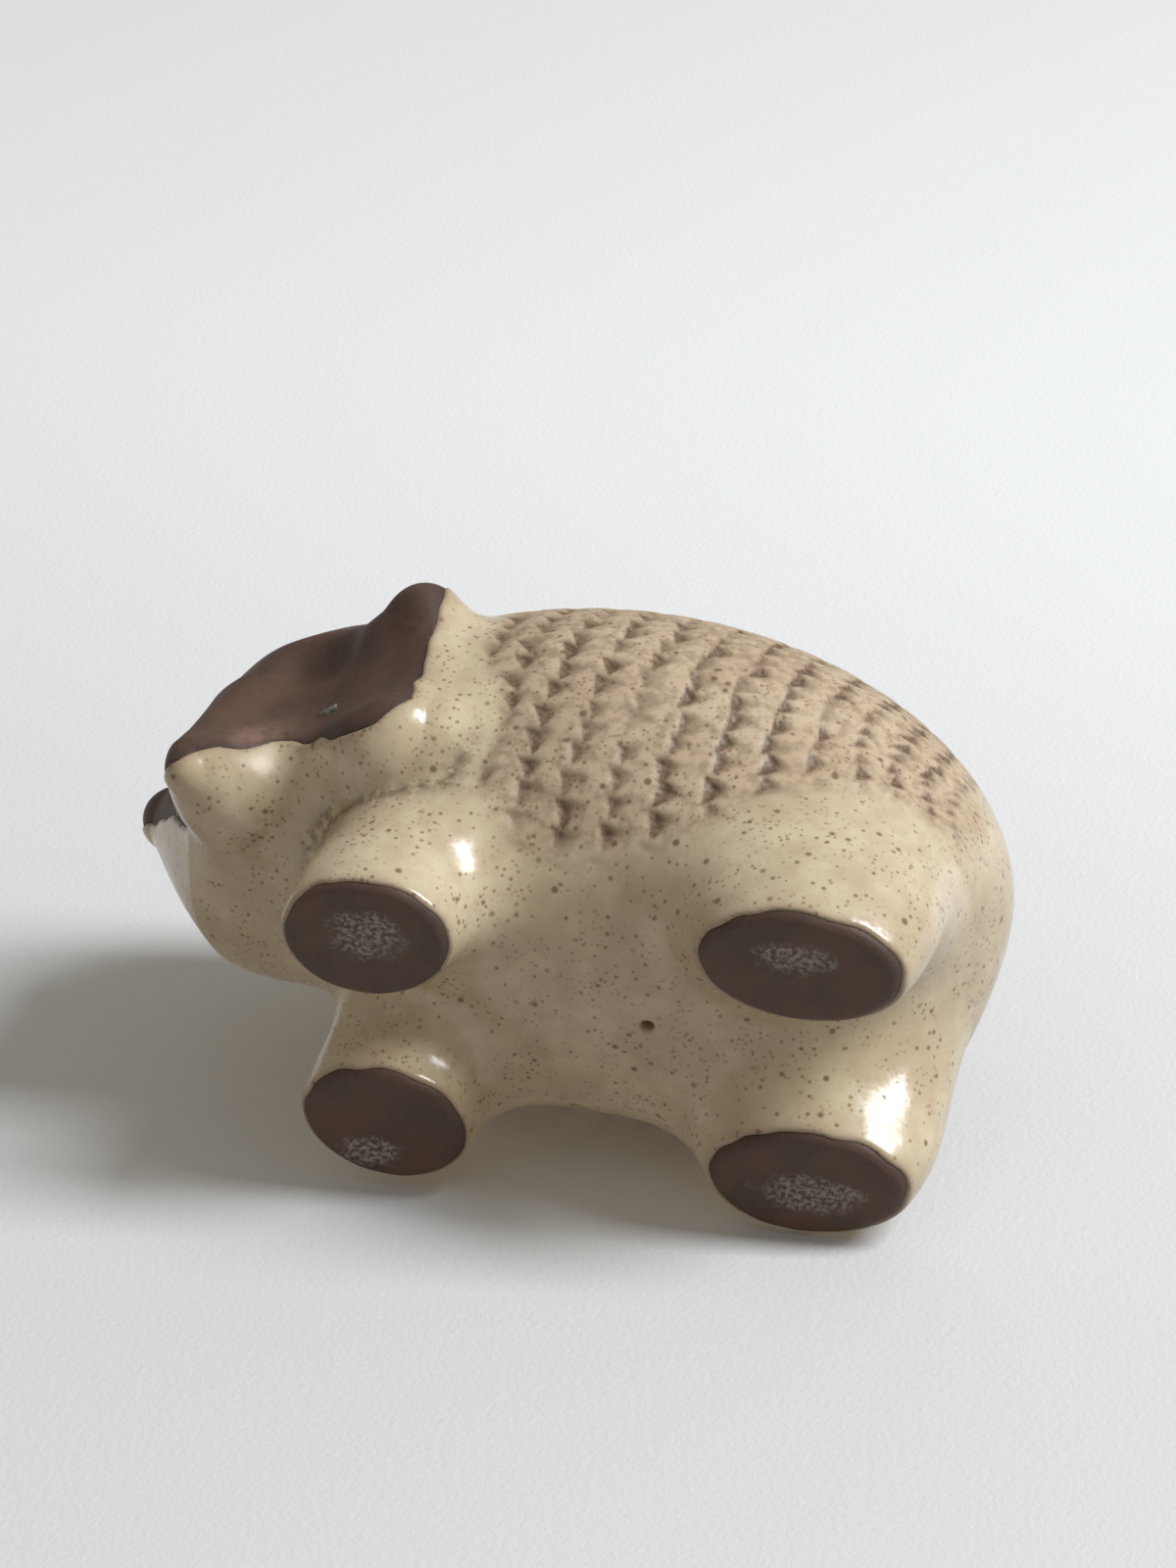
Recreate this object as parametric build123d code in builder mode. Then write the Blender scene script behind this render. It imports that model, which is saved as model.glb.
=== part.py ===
"""Stoneware hedgehog figure, standing on four flat soles, head turned to its left.

Millimetres. +Z is up, the soles stand at Z = 0 and the figure faces -X, so its left side is -Y.
The clay pieces are luted to one another face to face, and a thin glaze coats all of them
apart from the dished face and the soles. Sizes are those of the clay, without the glaze.
"""

import os
from math import asin, cos, degrees, hypot, radians, sin

from build123d import *

# Body: a hollow egg of clay, blunter in front, its long axis sagging towards the rump
BODY_CENTRE = (10.4, 0.0, 43.0)
BODY_FRONT_LENGTH = 54.0
BODY_REAR_LENGTH = 54.5
BODY_RADIUS = 35.0
BODY_SAG = 5.0
WALL = 6.0

# Glaze: its thickness, and how high above the ground it stops on the legs
GLAZE = 0.5
GLAZE_LINE = 1.6

# Firing vent, pricked up through the belly on the centre line
VENT_X = 20.6
VENT_RADIUS = 0.8

# Head: placed by the tip of the nose, then turned left, tipped up and rolled
NOSE = (-50.3, -25.2, 24.1)
HEAD_TURN = 45.0
HEAD_TILT = 23.5
HEAD_ROLL = 4.0

# In the head's own frame X runs to the left ear, Y up the face and Z out of the face
SKULL_CENTRE = (0.0, 36.0, -19.2)
SKULL_HALF_WIDTH = 28.0
SKULL_RADIUS = 25.0
SNOUT_TIP = (0.0, 2.8, -2.5)
SNOUT_ROOT = (0.0, 27.0, -11.0)
SNOUT_TIP_RADIUS = 2.0
SNOUT_ROOT_RADIUS = 17.0
EAR_TIP = (29.0, 33.5, -2.0)
EAR_ROOT = (14.0, 29.0, -18.0)
EAR_TIP_RADIUS = 3.1
EAR_ROOT_RADIUS = 14.0
EYE_DISH_CENTRE = (14.0, 24.0, 5.5)
EYE_DISH_HALF_LENGTH = 13.0
EYE_DISH_RADIUS = 8.0

# Eyes: a round dab of glaze beside the snout, where the line from the skull's centre comes out
EYE = (14.5, 19.3, -6.0)
EYE_RADIUS = 1.4

# Bare face: the left half of the mask's outline, seen along the head's Z axis. Behind, it ends at
# a plane down each ear and cheek, and at a sloping line under the chin
MASK_CHIN_Y = 1.0
MASK_JAW = (9.5, 12.5)
MASK_CHEEK = (24.0, 18.0, -13.0)
MASK_EAR = (33.0, 34.0)
MASK_BROW_Y = 46.0
MASK_REACH = 24.0
CHIN_DROP = 4.0
CHIN_SLOPE = 31.0

# Legs: the sole's centre and half-axes, the leg's centre up in the body, how much it is wider
# there, and how much it swells on the way
FRONT_FOOT = (-15.7, 16.2)
FRONT_SOLE = (11.9, 9.8)
FRONT_TOE_OUT = 8.0
FRONT_HIP = (-8.9, 13.5)
FRONT_FLARE = 0.10
FRONT_SWELL = 0.05
HIND_FOOT = (43.6, 18.75)
HIND_SOLE = (13.65, 8.95)
HIND_TOE_OUT = -3.0
HIND_HIP = (41.0, 15.5)
HIND_FLARE = 0.10
HIND_SWELL = 0.20
HIP_HEIGHT = 28.0
ROOT_HEIGHT = 38.0
ROOT_SHARE = 0.6
SOLE_ROUND = 1.0
FRONT_CREASE = 4.0
HIND_CREASE = 5.0

# Spine marks: three-sided chip cuts in rings round the back. The step is in degrees of the egg's
# sweep, and the marks lean from the shoulder's angle to the rump's
RING_STEP = 6.5
FIRST_RING = -5
LAST_RING = 9
MARKS_ROUND = 54
MARK_LENGTH = 5.4
MARK_WIDTH = 3.3
MARK_DEPTH = 0.95
MARK_DEEPEST = (0.26, 0.22)
SHOULDER_LEAN = 55.0
RUMP_LEAN = 15.0
MARK_LOWEST = 24.0
HEAD_CLEAR = 14.0
LEG_CLEAR = 24.0

LEFT = 1
RIGHT = -1
EYES = {"left_eye": LEFT, "right_eye": RIGHT}
FRONT = (FRONT_FOOT, FRONT_SOLE, FRONT_TOE_OUT, FRONT_HIP, FRONT_FLARE, FRONT_SWELL)
HIND = (HIND_FOOT, HIND_SOLE, HIND_TOE_OUT, HIND_HIP, HIND_FLARE, HIND_SWELL)
LEGS = {
    "front_left_leg": (FRONT, LEFT, FRONT_CREASE),
    "front_right_leg": (FRONT, RIGHT, FRONT_CREASE),
    "hind_left_leg": (HIND, LEFT, HIND_CREASE),
    "hind_right_leg": (HIND, RIGHT, HIND_CREASE),
}


def body_axis():
    """Line along the middle of the body, dipping towards the rump."""
    sag = radians(BODY_SAG)
    return Axis(BODY_CENTRE, (cos(sag), 0, -sin(sag)))


def face_plane():
    """Frame of the face: origin at the nose, X to the left ear, Y up the face, Z out of it."""
    turn, tilt, roll = radians(HEAD_TURN), radians(HEAD_TILT), radians(HEAD_ROLL)
    out = Vector(-cos(tilt) * cos(turn), -cos(tilt) * sin(turn), sin(tilt))
    level = Vector(sin(turn), -cos(turn), 0)
    return Plane(origin=NOSE, x_dir=level * cos(roll) + out.cross(level) * sin(roll), z_dir=out)


def in_face(point, side=LEFT):
    """Point of the face's frame as a point of the figure, on the left or mirrored to the right."""
    return face_plane().from_local_coords(Vector(side * point[0], point[1], point[2]))


def along(axis):
    """Drawing plane that holds an axis as its X."""
    across = Plane(axis.location)
    return Plane(origin=across.origin, x_dir=across.z_dir, z_dir=across.x_dir)


def egg(axis, before, beyond, radius, mode=Mode.ADD):
    """Egg turned about an axis, with its lengths before and beyond the axis's own point."""
    with BuildSketch(along(axis)) as half:
        with BuildLine():
            near = EllipticalCenterArc((0, 0), before, radius, 90, arc_size=90)
            far = EllipticalCenterArc((0, 0), beyond, radius, 0, arc_size=90)
            Line(near @ 1, far @ 0)
        make_face()
    revolve(half.sketch, axis, mode=mode)


def round_cone(tip, root, tip_radius, root_radius):
    """Cone with a ball at each end, turned about the line from tip to root."""
    length = (root - tip).length
    lean = degrees(asin((root_radius - tip_radius) / length))
    axis = Axis(tip, root - tip)
    with BuildSketch(along(axis)) as half:
        with BuildLine():
            nib = CenterArc((0, 0), tip_radius, 180, lean - 90)
            ball = CenterArc((length, 0), root_radius, 90 + lean, -90 - lean)
            Line(nib @ 1, ball @ 0)
            Line(ball @ 1, nib @ 0)
        make_face()
    revolve(half.sketch, axis)


def body_form(grow=0.0, mode=Mode.ADD):
    """Outside of the body, grown by a coat or shrunk by a wall."""
    egg(body_axis(), BODY_FRONT_LENGTH + grow, BODY_REAR_LENGTH + grow, BODY_RADIUS + grow, mode)


def skull_form(grow=0.0, mode=Mode.ADD):
    """Ball of the head, widest from ear to ear."""
    axis = Axis(in_face(SKULL_CENTRE), face_plane().x_dir)
    egg(axis, SKULL_HALF_WIDTH + grow, SKULL_HALF_WIDTH + grow, SKULL_RADIUS + grow, mode)


def head_form(grow=0.0):
    """Skull, snout and both ears, with the eyes' hollows dished out of the face."""
    skull_form(grow)
    round_cone(
        in_face(SNOUT_TIP), in_face(SNOUT_ROOT), SNOUT_TIP_RADIUS + grow, SNOUT_ROOT_RADIUS + grow
    )
    for side in (LEFT, RIGHT):
        round_cone(
            in_face(EAR_TIP, side), in_face(EAR_ROOT, side), EAR_TIP_RADIUS + grow, EAR_ROOT_RADIUS + grow
        )
    for side in (LEFT, RIGHT):
        axis = Axis(in_face(EYE_DISH_CENTRE, side), face_plane().y_dir)
        half_length = EYE_DISH_HALF_LENGTH - grow
        egg(axis, half_length, half_length, EYE_DISH_RADIUS - grow, Mode.SUBTRACT)


def leg_form(pair, side, grow=0.0, start=0.0):
    """Stub that swells from the height it starts at up to the hip, and tapers to a root in the body."""
    foot, sole, toe_out, hip, flare, swell = pair
    sections = []
    for height in (start, HIP_HEIGHT / 2, HIP_HEIGHT, ROOT_HEIGHT):
        share = height / HIP_HEIGHT
        widen = 1 + flare * share + 4 * swell * share * (1 - share)
        if height == ROOT_HEIGHT:
            widen = ROOT_SHARE
        x = foot[0] + (hip[0] - foot[0]) * share**2
        y = foot[1] + (hip[1] - foot[1]) * share**2
        with BuildSketch(Plane.XY.offset(height)) as section:
            with Locations((x, -side * y)):
                Ellipse(sole[0] * widen + grow, sole[1] * widen + grow, rotation=-side * toe_out)
        sections.append(section.sketch)
    loft(sections)


def vent_form():
    """Round hole up through the belly, from below the feet to the middle of the body."""
    with BuildSketch(Plane.XY) as mouth:
        with Locations((VENT_X, 0)):
            Circle(VENT_RADIUS)
    extrude(mouth.sketch, BODY_CENTRE[2], mode=Mode.SUBTRACT)


def mark_places(side):
    """Places of the cut marks on one flank: X along the cut, towards the tail and down, Z off the body."""
    tail = body_axis().direction
    skull = in_face(SKULL_CENTRE)
    places = []
    for ring in range(FIRST_RING, LAST_RING + 1):
        sweep = radians(ring * RING_STEP)
        reach = BODY_FRONT_LENGTH if ring < 0 else BODY_REAR_LENGTH
        share = (ring - FIRST_RING) / (LAST_RING - FIRST_RING)
        lean = radians(SHOULDER_LEAN + (RUMP_LEAN - SHOULDER_LEAN) * share)
        for mark in range(ring % 2, MARKS_ROUND // 2, 2):
            turn = radians((mark + ring % 2 / 2) * 360 / MARKS_ROUND)
            out = Vector(-tail.Z, 0, tail.X) * cos(turn) + Vector(0, -side, 0) * sin(turn)
            down = Vector(-tail.Z, 0, tail.X) * -sin(turn) + Vector(0, -side, 0) * cos(turn)
            spot = Vector(BODY_CENTRE) + tail * (reach * sin(sweep)) + out * (BODY_RADIUS * cos(sweep))
            away = tail * (sin(sweep) / reach) + out * (cos(sweep) / BODY_RADIUS)
            back = (tail * (reach * cos(sweep)) - out * (BODY_RADIUS * sin(sweep))).normalized()
            by_head = (spot - skull).length < SKULL_RADIUS + HEAD_CLEAR
            by_leg = any(
                hypot(spot.X - hip[0], spot.Z - HIP_HEIGHT / 2) < LEG_CLEAR for hip in (FRONT_HIP, HIND_HIP)
            )
            if spot.Z > MARK_LOWEST and not by_head and not by_leg:
                cut = back * cos(lean) + down * sin(lean)
                places.append(Plane(origin=spot, x_dir=cut, z_dir=away).location)
    return places


def mark_form(side, grow, top):
    """Three-sided point of a mark, from its deepest spot up to a height above the clay."""
    steep = side * MARK_DEEPEST[1] * MARK_WIDTH
    deepest = Vector(MARK_DEEPEST[0] * MARK_LENGTH, steep, grow - MARK_DEPTH)
    spread = (top - deepest.Z) / MARK_DEPTH
    corners = [(-0.5, 0), (0.5, 0.5), (0.5, -0.5)]
    mouth = []
    for x, y in corners:
        corner = Vector(x * MARK_LENGTH, y * MARK_WIDTH, grow)
        spot = deepest + (corner - deepest) * spread
        mouth.append((spot.X, spot.Y))
    with BuildPart() as point:
        with BuildSketch(Plane.XY.offset(top)) as outline:
            with BuildLine():
                Polyline(*mouth, close=True)
            make_face()
        loft([outline.sketch, Vertex(deepest)])
    return point.part


# Whole forms that the pieces are cut by
with BuildPart() as body_core:
    body_form()

with BuildPart() as head_core:
    head_form()

# Points that press the marks: a plug fills the cut in the clay up into the coat, a cutter opens the coat
plugs = {side: mark_form(side, 0.0, GLAZE / 2) for side in (LEFT, RIGHT)}
cutters = {side: mark_form(side, GLAZE, 4 * GLAZE) for side in (LEFT, RIGHT)}

# Room over the bare face: the mask's outline carried through the head, then cut off behind
with BuildPart() as bare_face:
    with BuildSketch(face_plane().offset(-MASK_REACH)):
        with BuildLine():
            cheek = Spline((0, MASK_CHIN_Y), MASK_JAW, MASK_CHEEK[:2], MASK_EAR)
            mirror(cheek, about=Plane.YZ)
            ThreePointArc((-MASK_EAR[0], MASK_EAR[1]), (0, MASK_BROW_Y), MASK_EAR)
        make_face()
    extrude(amount=2 * MASK_REACH)
    slope = radians(CHIN_SLOPE)
    chin = in_face((0, 0, -CHIN_DROP))
    up_cheek = in_face((0, cos(slope), -CHIN_DROP - sin(slope))) - chin
    split(bisect_by=Plane(origin=chin, z_dir=face_plane().x_dir.cross(up_cheek)), keep=Keep.TOP)
    for side in (LEFT, RIGHT):
        ear_tip = in_face(EAR_TIP, side)
        down_ear = in_face(EAR_ROOT, side) - ear_tip
        down_cheek = in_face(MASK_CHEEK, side) - ear_tip
        split(bisect_by=Plane(origin=ear_tip, z_dir=down_ear.cross(down_cheek) * side), keep=Keep.TOP)

# Body: hollow, open to the vent below and to the hollow of the head in front
with BuildPart() as body_shell:
    body_form()
    body_form(-WALL, Mode.SUBTRACT)
    skull_form(-WALL, Mode.SUBTRACT)
    vent_form()
    for side in (LEFT, RIGHT):
        with Locations(*mark_places(side)):
            add(plugs[side], mode=Mode.SUBTRACT)
body_shell.part.label = "body_shell"

# Head: hollow behind the face and seated on the body
with BuildPart() as head:
    head_form()
    skull_form(-WALL, Mode.SUBTRACT)
    add(body_core.part, mode=Mode.SUBTRACT)
head.part.label = "head"

# Eyes: what a round rod from the middle of the skull meets of a coat on the head
eyes = {}
for name, side in EYES.items():
    middle = in_face(SKULL_CENTRE)
    with BuildPart() as eye:
        head_form(GLAZE)
        add(head_core.part, mode=Mode.SUBTRACT)
        add(body_core.part, mode=Mode.SUBTRACT)
        with BuildSketch(Plane(origin=middle, z_dir=in_face(EYE, side) - middle)):
            Circle(EYE_RADIUS)
        extrude(amount=2 * SKULL_HALF_WIDTH, mode=Mode.INTERSECT)
    eye.part.label = name
    eyes[name] = eye

# Legs: solid stubs with flat soles, seated on the body and cut back where the cheek lies on them
legs = {}
for name, (pair, side, crease) in LEGS.items():
    with BuildPart() as leg:
        leg_form(pair, side)
        fillet(leg.edges().group_by(Axis.Z)[0], radius=SOLE_ROUND)
        add(body_core.part, mode=Mode.SUBTRACT)
        add(head_core.part, mode=Mode.SUBTRACT)
    leg.part.label = name
    legs[name] = leg

# Outside of the coat on body and legs, which fills the creases between them
with BuildPart() as limbs_coat:
    body_form(GLAZE)
    for pair, side, crease in LEGS.values():
        leg_form(pair, side, GLAZE, GLAZE_LINE)
        fillet(limbs_coat.edges(Select.NEW), radius=crease)

# Glaze: the coat that is left outside the clay, wiped off the face and the feet and cut by the marks
with BuildPart() as glaze_coat:
    head_form(GLAZE)
    add(bare_face.part, mode=Mode.SUBTRACT)
    add(limbs_coat.part)
    add(body_core.part, mode=Mode.SUBTRACT)
    add(head_core.part, mode=Mode.SUBTRACT)
    for piece in (*eyes.values(), *legs.values()):
        add(piece.part, mode=Mode.SUBTRACT)
    vent_form()
    for side in (LEFT, RIGHT):
        with Locations(*mark_places(side)):
            add(plugs[side])
        with Locations(*mark_places(side)):
            add(cutters[side], mode=Mode.SUBTRACT)
glaze_coat.part.label = "glaze_coat"

os.makedirs("parts", exist_ok=True)
for piece in (body_shell, head, *eyes.values(), *legs.values(), glaze_coat):
    export_step(piece.part, f"parts/{piece.part.label}.step")
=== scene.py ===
"""Studio scene of the stoneware hedgehog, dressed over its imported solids.

The figure stands in its own frame: +Z up, soles at Z = 0, facing -X, left side at -Y. Sizes here are
millimetres of the glazed surface, and a mesh turns to metres when it is made. The photograph shows the
figure lying on its right flank, so the floor is a plane beside it and the camera looks up at the soles.
"""

import bpy
import numpy as np
from mathutils import Matrix, Vector


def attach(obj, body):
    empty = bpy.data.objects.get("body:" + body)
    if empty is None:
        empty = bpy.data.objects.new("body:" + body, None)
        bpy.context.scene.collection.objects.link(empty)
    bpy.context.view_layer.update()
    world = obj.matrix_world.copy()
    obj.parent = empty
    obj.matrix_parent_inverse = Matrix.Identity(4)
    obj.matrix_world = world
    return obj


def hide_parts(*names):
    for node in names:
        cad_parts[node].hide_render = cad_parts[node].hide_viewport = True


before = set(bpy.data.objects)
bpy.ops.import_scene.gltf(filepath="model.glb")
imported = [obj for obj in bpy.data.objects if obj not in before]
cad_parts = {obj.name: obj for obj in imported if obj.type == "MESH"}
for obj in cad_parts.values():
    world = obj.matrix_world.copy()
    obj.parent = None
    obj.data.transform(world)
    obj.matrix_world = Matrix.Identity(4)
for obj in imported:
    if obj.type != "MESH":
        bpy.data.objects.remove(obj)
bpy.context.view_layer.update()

MM = 0.001
LEFT = 1
RIGHT = -1

# Body: an egg, blunter in front, with its long axis sagging towards the rump
BODY_CENTRE = (10.4, 0.0, 42.99)
BODY_FRONT = (54.5, 35.5, 35.5)
BODY_REAR = (54.98, 35.5, 35.5)
BODY_SAG = 5.0

# Head: placed by the tip of the nose, then turned left, tipped up and rolled
NOSE = (-50.3, -25.2, 24.1)
HEAD_TURN = 45.0
HEAD_TILT = 23.5
HEAD_ROLL = 4.0

# In the head's own frame X runs to the left ear, Y up the face and Z out of the face
SKULL_CENTRE = (0.0, 36.0, -19.2)
SKULL_RADII = (28.5, 25.5, 25.5)
SNOUT = ((0.0, 2.8, -2.5), (0.0, 27.0, -11.0), 2.4, 17.5)
JAW = ((0.0, 9.5, -9.5), (0.0, 24.0, -16.0), 7.2, 14.0)
EAR = ((27.6, 33.2, -3.4), (14.0, 29.0, -16.5), 4.9, 15.5)
BRIDGE = ((-0.5, 6.0, -1.4), (-2.0, 24.0, -3.5), 3.0, 9.2)
CHEEK = ((26.2, 30.0, -9.0), (24.0, 17.5, -20.5), 5.0, 12.0)
JOWL = ((24.0, 17.5, -20.5), (23.7, 13.8, -17.2), 12.0, 9.8)
DISH = ((4.8, 11.0, 4.4), (14.0, 24.0, 5.5), 5.0, 8.5)
HOLLOW = ((20.0, 12.5, 7.2), (28.0, 13.0, 6.0), 15.2, 16.0)
EYES = {"left_eye": (16.1, 16.7, -6.6), "right_eye": (-14.5, 19.8, -6.0)}
EYE_RADII = (1.6, 1.0)

# How softly the forms run into one another
SNOUT_BLEND = 5.0
JAW_BLEND = 8.0
EAR_BLEND = 8.0
CHEEK_BLEND = 9.0
BRIDGE_BLEND = 2.5
DISH_BLEND = 3.0
NECK_BLEND = 4.5
CREASE_BLEND = 2.0
CREASE_REACH = (2.0, 10.0)
FRONT_BLEND = 9.0
HIND_BLEND = 14.0
SOLE_ROUND = 2.0
HIP_ROUND = 4.0

# Legs: sole centre, sole half-axes, toe-out, hip centre, flare and swell
HIP_HEIGHT = 28.0
FRONT_LEG = ((-15.7, 16.2), (11.9, 9.8), 8.0, (-8.9, 13.5), 0.10, 0.05)
HIND_LEG = ((43.6, 18.75), (13.65, 8.95), -3.0, (41.0, 15.5), 0.10, 0.20)
LEGS = {
    "front_left": (FRONT_LEG, LEFT, FRONT_BLEND),
    "front_right": (FRONT_LEG, RIGHT, FRONT_BLEND),
    "hind_left": (HIND_LEG, LEFT, HIND_BLEND),
    "hind_right": (HIND_LEG, RIGHT, HIND_BLEND),
}

# Chalky scuffs: where they lie on each sole and how far they reach, as shares of the sole's half-axes
SCUFFS = {
    "front_left": ((0.02, -0.12), (0.52, 0.52)),
    "front_right": ((-0.20, 0.50), (0.46, 0.32)),
    "hind_left": ((-0.03, -0.22), (0.52, 0.34)),
    "hind_right": ((0.06, 0.14), (0.60, 0.44)),
}

# Spot beside the nose, in the head's frame: the bare clay there is painted a lighter red as a painted sheen,
# and the glaze there is duller
SNOUT_SPOT = (9.5, 9.5, -4.5)
SNOUT_SPOT_REACH = (6.0, 5.5, 5.0)

# Firing vent, pricked up into the belly
VENT_FOOT = (20.6, 0.0, 2.0)
VENT_HEAD = (20.6, 0.0, 13.0)
VENT_RADIUS = 0.9
VENT_BLEND = 0.8

# Bare face, in the head's frame: how far back its rim lies under the chin, how high and how far out the
# glaze comes on the right cheek, and how high the bare clay goes at the brow, each from the middle outwards.
# Then the plane that the glaze's edge follows up the ear: its direction and its distance from the nose. The
# drifts of the glaze's edge are a height, a size and a seed
CHIN_RIM = ((0.0, -0.9), (2.7, -1.6), (5.3, -2.8), (8.4, -5.4), (12.8, -8.9), (23.3, -12.7), (28.0, -13.5))
RIGHT_EDGE = ((0.0, -8.0), (10.0, 10.0), (15.0, 15.5), (20.0, 23.5), (25.0, 28.0), (29.0, 31.0))
RIGHT_RIM = ((0.0, -0.9), (5.0, -3.2), (11.0, -5.2), (16.0, -4.8), (21.0, -3.9), (25.0, -3.1), (29.0, -1.9))
BROW_RIM = ((0.0, 46.0), (14.0, 44.5), (27.0, 40.5), (34.0, 38.0))
EAR_RIM_COURSE = (0.45, 0.38, -0.81)
EAR_RIM_REACH = 29.3
RIM_WANDER = (0.3, 5.0, 3)
SOLE_WANDER = (0.25, 7.0, 5)
NOT_RIGHT = -8.0
GLAZE = 0.35
GLAZE_ROLL = 0.7
GLAZE_LINE = 0.9
GLAZE_FADE = 0.9
SOLE_DROP = 1.2
SOLE_TOP = 3.0
SOLE_REACH = 20.0
UNDERLAP = 0.6

# Mesh: the box it is sampled in and the size of a cell
SKIN_LOW = (-66.5, -37.0, -0.8)
SKIN_HIGH = (66.5, 37.0, 79.5)
VOXEL = 0.45

# Spine marks: the step of the rings in degrees of the egg's sweep, the marks in a ring, and their lean,
# length and width at the shoulder's ring and the rump's. A pit deepens from its steep wall, ramp and end
RING_STEP = 6.5
RING_LIMIT = 14
MARKS_ROUND = 54
MARK_RINGS = (-5, 9)
MARK_LEANS = (-109.0, -35.0)
MARK_LENGTHS = (4.1, 5.0)
MARK_WIDTHS = (5.6, 3.4)
MARK_DEPTH = 1.05
MARK_SEED = 7
WALL_RUN = 0.8
RAMP_SHARE = 0.6
END_RUN = 1.5
# How far the brown stain and painted shade spread from a pit's steep wall
STAIN_AND_SHADE_RUN = 2.2
FULL_PITCH = 3.9
MARK_SOFTENING = 4

# Hand's unsteadiness: shift, lean, size, depth, and brown stain with painted shade of a mark, each times a
# draw between -2 and 2
LOOSE_SHIFT = 0.3
LOOSE_LEAN = 8.0
LOOSE_SIZE = 0.08
LOOSE_DEPTH = 0.15
LOOSE_STAIN_AND_SHADE = 0.2

# Where the marks fade out: near the head, legs, belly, tail and low rump, and at the glaze's edge
HEAD_FADE = (2.5, 5.0)
LEG_FADE = (2.0, 5.0)
BELLY_FADE = (13.0, 18.0)
TAIL_FADE = (55.0, 63.0)
LOW_RUMP_BACK = (38.0, 44.0)
LOW_RUMP_UP = (24.0, 32.0)
EDGE_FADE = (0.5, 3.0)

# Brown stain with painted shade along the crease under the cheek: its width, and how far from the leg it
# ends
CREASE_WIDTH = 1.6
CREASE_END = (4.0, 9.0)

# Eyes: height of the dome, its rings and spokes, how far it sinks, and the lobes of its ragged edge
EYE_RISE = 0.45
EYE_RINGS = 9
EYE_SPOKES = 36
EYE_SINK = 0.1
EYE_FOOT = 0.4
EYE_LOBES = ((0.14, 3, 1.0), (0.08, 5, 0.0))

# Specks of the glaze and pores of the clay: cell, smallest and largest radius, and share of cells with one
DUST = (0.9, 0.2, 0.38, 0.9)
GRAINS = (1.4, 0.22, 0.44, 0.7)
SPOTS = (2.7, 0.36, 0.72, 0.55)
PORES = (1.3, 0.08, 0.18, 0.25)

# Gloss: roughness of each surface, and what the spiny back and the spot beside the nose add to the glaze's
GLAZE_GLOSS = (0.14, 0.26)
GLAZE_IOR = 1.5
SPINY_DULL = 0.3
SNOUT_SPOT_DULL = 0.45
CLAY_ROUGHNESS = 0.6
EYE_ROUGHNESS = 0.08
FLOOR_ROUGHNESS = 0.75
FACE_BURN = 0.85
SOLE_BURN = 0.35

# Colours, as linear light
GLAZE_CREAM = (0.63, 0.54, 0.37)
GLAZE_TAN = (0.54, 0.44, 0.29)
GLAZE_PINK = (0.50, 0.36, 0.25)
# The thin glaze colour also paints shade into the spine marks' pits; the stain colour is brown stain and
# painted shade in the pits and along the cheek's crease
GLAZE_THIN_AND_SHADE = (0.25, 0.175, 0.11)
GLAZE_STAIN_AND_SHADE = (0.11, 0.062, 0.034)
GLAZE_EDGE = (0.24, 0.15, 0.10)
SPECK_BROWN = (0.15, 0.08, 0.042)
SPECK_RED = (0.24, 0.12, 0.065)
CLAY_DARK = (0.062, 0.034, 0.022)
CLAY_RED = (0.105, 0.052, 0.033)
CLAY_DUST = (0.13, 0.085, 0.06)
# Lighter red painted on the clay beside the nose as a painted sheen
CLAY_PAINTED_SHEEN = (0.26, 0.15, 0.115)
CLAY_CHALK = (0.34, 0.32, 0.30)
CLAY_PORE = (0.02, 0.013, 0.01)
CLAY_RIM = (0.035, 0.02, 0.016)
EYE_PALE = (0.19, 0.19, 0.15)
EYE_DARK = (0.07, 0.06, 0.045)
# Floor painted darker near the figure and lighter far from it, a painted falloff of the light
FLOOR_SHADED_NEAR = (0.69, 0.70, 0.705)
FLOOR_LIT_FAR = (0.87, 0.89, 0.90)
WORLD_FILL = (0.345, 0.325, 0.295)
WORLD_SEEN = (0.80, 0.82, 0.81)

# Stage: the floor's upward direction and half-size, the camera, and a window's light: its direction to the
# image's right, off the floor and towards the camera, its distance, width, height, power and colour
FLOOR_UP = (0.006, -0.978, 0.208)
FLOOR_HALF = 1.5
FLOOR_GAP = 0.0001
# Heights over which the floor's painted falloff turns from its near colour to its far one
FLOOR_FALLOFF_SPAN = (-0.05, 0.35)
CAMERA_PLACE = (0.1504, -0.4218, -0.4879)
CAMERA_RIGHT = (0.9729, 0.0543, 0.2247)
CAMERA_UP = (-0.0919, -0.8011, 0.5914)
CAMERA_LENS = 112.5
WINDOW_COURSE = (0.75, 0.75, 0.15)
WINDOW_REACH = 2.0
WINDOW_SIZE = (0.55, 1.1)
WINDOW_POWER = 42.0
WINDOW_COLOUR = (0.97, 1.0, 1.04)


def unit(vector):
    """Vector of length one."""
    vector = np.asarray(vector, float)
    return vector / np.linalg.norm(vector)


def smooth_step(low, high, value):
    """Zero below low, one above high, and an even rise between them."""
    share = np.clip((value - low) / (high - low), 0, 1)
    return share * share * (3 - 2 * share)


def melt_min(a, b, soft):
    """Union of two distance fields that run into each other over a soft width."""
    share = np.maximum(soft - np.abs(a - b), 0) / soft
    return np.minimum(a, b) - share * share * soft / 4


def melt_max(a, b, soft):
    """Overlap of two distance fields, with a soft edge."""
    return -melt_min(-a, -b, soft)


def egg_field(points, radii):
    """Distance to an ellipsoid round the origin, near enough close to its skin."""
    radii = np.asarray(radii, np.float32)
    inner = np.linalg.norm(points / radii, axis=1)
    slope = np.linalg.norm(points / (radii * radii), axis=1)
    return inner * (inner - 1) / np.maximum(slope, 1e-6)


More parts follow.
